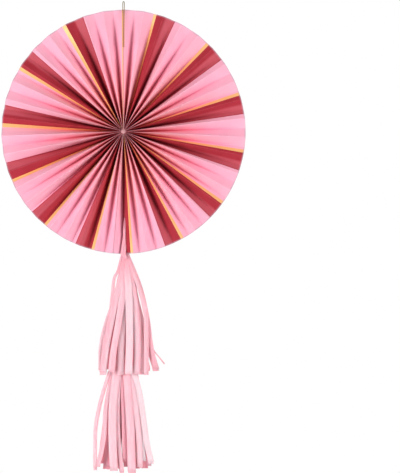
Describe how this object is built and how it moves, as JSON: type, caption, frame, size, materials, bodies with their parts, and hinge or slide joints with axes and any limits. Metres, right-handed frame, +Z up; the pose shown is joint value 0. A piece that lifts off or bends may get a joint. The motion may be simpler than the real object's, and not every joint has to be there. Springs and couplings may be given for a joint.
{
  "type": "paper fan rosette",
  "caption": "Round pleated paper fan rosette with radiating printed stripes, a thread loop to hang it by and a tiered cut tissue tassel below.",
  "frame": {"origin": "top of the hanging thread's loop, where the rosette hangs from a hook or nail", "axes": "+Z up, through the hub and along the tassel; the printed front faces -Y; +X to the right as seen from the front"},
  "size_m": [0.3998, 0.0376, 0.7711],
  "materials": {
    "printed_paper": "smooth pink paper with gold foil and burgundy stripes printed across the pleats, plain pink back",
    "tape": "thin clear double-sided tape",
    "pink_thread": "soft twisted sewing thread",
    "gold_thread": "twisted khaki thread with a metallic glint",
    "pink_tissue": "thin pink tissue paper in layers, cut into strips"
  },
  "bodies": {
    "root": {"pleated_sheet_right": "printed_paper", "pleated_sheet_left": "printed_paper", "seam_tape_top": "tape", "seam_tape_bottom": "tape", "binding_thread": "pink_thread", "hub_knot": "pink_thread", "hanging_thread": "gold_thread", "tassel_upper": "pink_tissue", "tassel_lower": "pink_tissue"}
  },
  "joints": []
}
